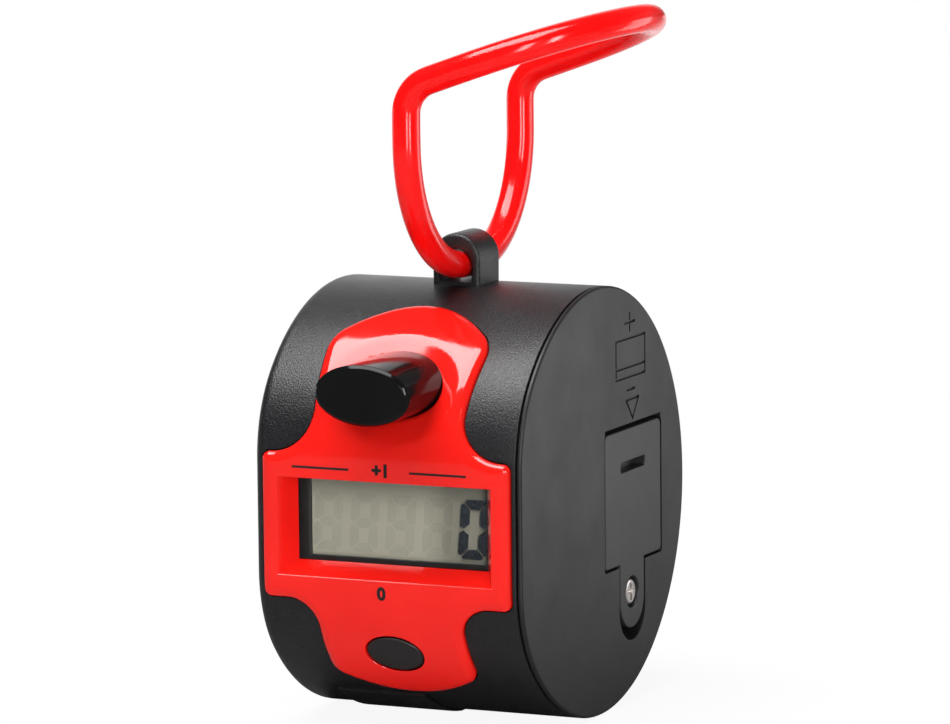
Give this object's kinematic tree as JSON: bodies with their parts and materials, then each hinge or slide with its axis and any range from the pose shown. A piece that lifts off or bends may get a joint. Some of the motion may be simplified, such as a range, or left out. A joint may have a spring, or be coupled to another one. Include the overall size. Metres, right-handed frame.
{
  "type": "tally counter",
  "caption": "Drum-shaped electronic hand counter with a display window, a long press button, a small reset button, a screwed battery door and a folding wire finger ring.",
  "frame": {"origin": "centre of the flat outer face of the drum's closed end, on the drum's axis", "axes": "+X along the drum's axis towards the battery cap, -Y out of the display side, +Z towards the ring and its lug"},
  "size_m": [0.0345, 0.0467, 0.0712],
  "materials": {
    "housing_black": "fine spark-textured black plastic",
    "face_red": "glossy red plastic",
    "button_black": "polished black plastic",
    "ring_red": "glossy red plastic coating on wire",
    "lens_clear": "clear acrylic",
    "display_glass": "thin display glass",
    "reflector_film": "grey-green reflective film",
    "connector_rubber": "layered conductive rubber",
    "board_green": "green solder mask",
    "resin_black": "black resin",
    "ceramic": "brown ceramic with tinned ends",
    "plated_steel": "nickel-plated steel"
  },
  "bodies": {
    "housing": {"housing_shell": "housing_black", "sole_pad": "housing_black", "battery_cap": "housing_black", "face_plate": "face_red", "window_lens": "lens_clear", "lcd_frame": "housing_black", "lcd_front_glass": "display_glass", "lcd_rear_glass": "display_glass", "lcd_reflector": "reflector_film", "lcd_connector": "connector_rubber", "circuit_board": "board_green", "chip_blob": "resin_black", "chip_capacitor": "ceramic", "count_switch": "resin_black", "reset_switch": "resin_black", "button_cell": "plated_steel", "positive_contact": "plated_steel", "negative_contact": "plated_steel"},
    "ring": {"finger_ring": "ring_red"},
    "count_key": {"count_button": "button_black", "count_plunger": "resin_black"},
    "reset_key": {"reset_button": "button_black", "reset_plunger": "resin_black"},
    "door": {"battery_door": "housing_black"},
    "screw": {"door_screw": "plated_steel"}
  },
  "joints": [
    {"name": "ring_swing", "type": "hinge", "parent": "housing", "child": "ring", "pos_m": [0.01443, 0, 0.02333], "axis": [0, 0.9994, -0.0358], "range_deg": [-90, 70]},
    {"name": "count_press", "type": "slide", "parent": "housing", "child": "count_key", "axis": [0, 1, 0], "range_m": [0, 0.0012], "stiffness_N_per_m": 250, "springref_m": -0.004},
    {"name": "reset_press", "type": "slide", "parent": "housing", "child": "reset_key", "axis": [0, 1, 0], "range_m": [0, 0.0007], "stiffness_N_per_m": 250, "springref_m": -0.004},
    {"name": "door_lift", "type": "slide", "parent": "housing", "child": "door", "axis": [1, 0, 0], "range_m": [0, 0.012]},
    {"name": "screw_turn", "type": "hinge", "parent": "door", "child": "screw", "pos_m": [0.0287, 0.0079, -0.01035], "axis": [1, 0, 0], "continuous": true}
  ]
}
